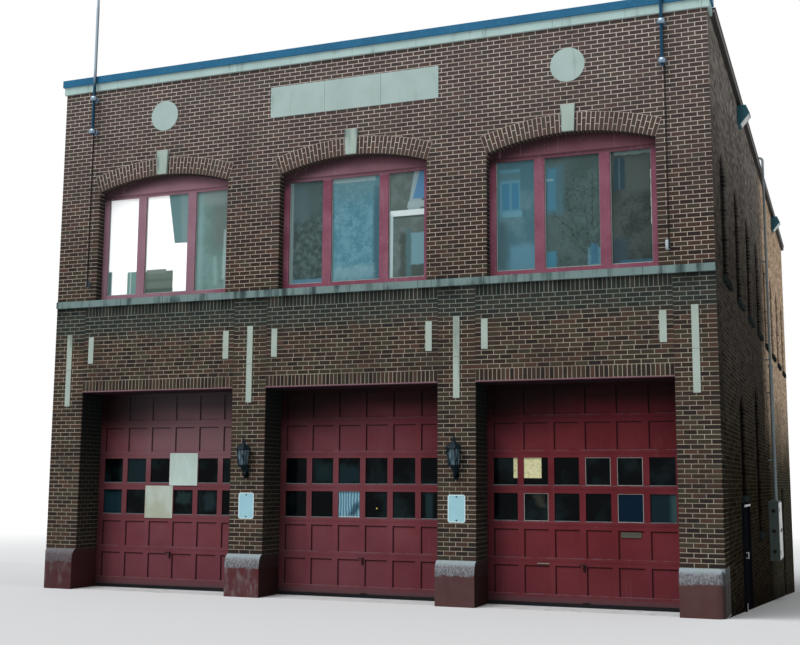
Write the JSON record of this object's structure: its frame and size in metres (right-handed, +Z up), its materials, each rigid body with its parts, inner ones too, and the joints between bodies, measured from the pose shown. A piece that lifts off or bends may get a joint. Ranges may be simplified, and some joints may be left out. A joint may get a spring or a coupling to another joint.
{
  "type": "fire station building",
  "caption": "Two-storey brick fire station with red sectional engine doors, arched upper windows, pale stone bands, a blue capped parapet, wall flagpoles and lanterns.",
  "frame": {"origin": "on the face that the building rests on, at the foot of the front wall, midway along the front", "axes": "+Z up, +Y from the front wall's face into the building, +X along the front, to the right seen from the street"},
  "size_m": [12.845, 21.2906, 14.754],
  "materials": {
    "brown_brick": "matte",
    "dressed_stone": "matte",
    "foundation_stone": "matte",
    "concrete": "matte",
    "lintel_paint": "satin",
    "red_door_paint": "satin",
    "rose_window_paint": "satin",
    "plywood": "matte",
    "window_glass": "gloss",
    "door_glass": "gloss",
    "guard_paint": "matte",
    "blue_metal": "satin",
    "pale_metal": "satin",
    "dark_metal": "satin",
    "pole_paint": "gloss",
    "bright_metal": "satin",
    "lantern_iron": "satin",
    "lantern_glass": "gloss",
    "white_sheet": "satin",
    "brass": "matte",
    "cabinet_paint": "satin",
    "rope": "matte",
    "lamp_lens": "gloss",
    "roof_felt": "matte"
  },
  "bodies": {
    "root": {"brick_piers": "brown_brick", "wall_over_doors": "brown_brick", "upper_front_wall": "brown_brick", "window_arches": "brown_brick", "right_wall": "brown_brick", "left_wall": "brown_brick", "rear_wall": "brown_brick", "front_foundation": "foundation_stone", "stone_band": "dressed_stone", "keystones": "dressed_stone", "stone_strips": "dressed_stone", "stone_panel_and_discs": "dressed_stone", "front_coping": "dressed_stone", "side_window_sills": "dressed_stone", "side_coping": "pale_metal", "coping_flashing": "dark_metal", "metal_cap": "blue_metal", "door_lintels": "lintel_paint", "ground_floor": "concrete", "upper_floor": "concrete", "roof_deck": "roof_felt", "front_window_frames": "rose_window_paint", "side_window_frames": "rose_window_paint", "window_glass": "window_glass", "left_engine_door": "red_door_paint", "middle_engine_door": "red_door_paint", "right_engine_door": "red_door_paint", "door_trim": "red_door_paint", "door_glass": "door_glass", "door_boards": "plywood", "door_sills": "dark_metal", "door_hardware": "brass", "wheel_guards": "guard_paint", "lantern_frames": "lantern_iron", "lantern_glass": "lantern_glass", "notice_plates": "white_sheet", "flagpoles": "pole_paint", "flagpole_fittings": "bright_metal", "halyards": "rope", "side_doors": "dark_metal", "floodlights": "blue_metal", "floodlight_lenses": "lamp_lens", "conduits": "cabinet_paint", "meter_cabinet": "cabinet_paint", "cabinet_doors": "white_sheet"}
  },
  "joints": []
}
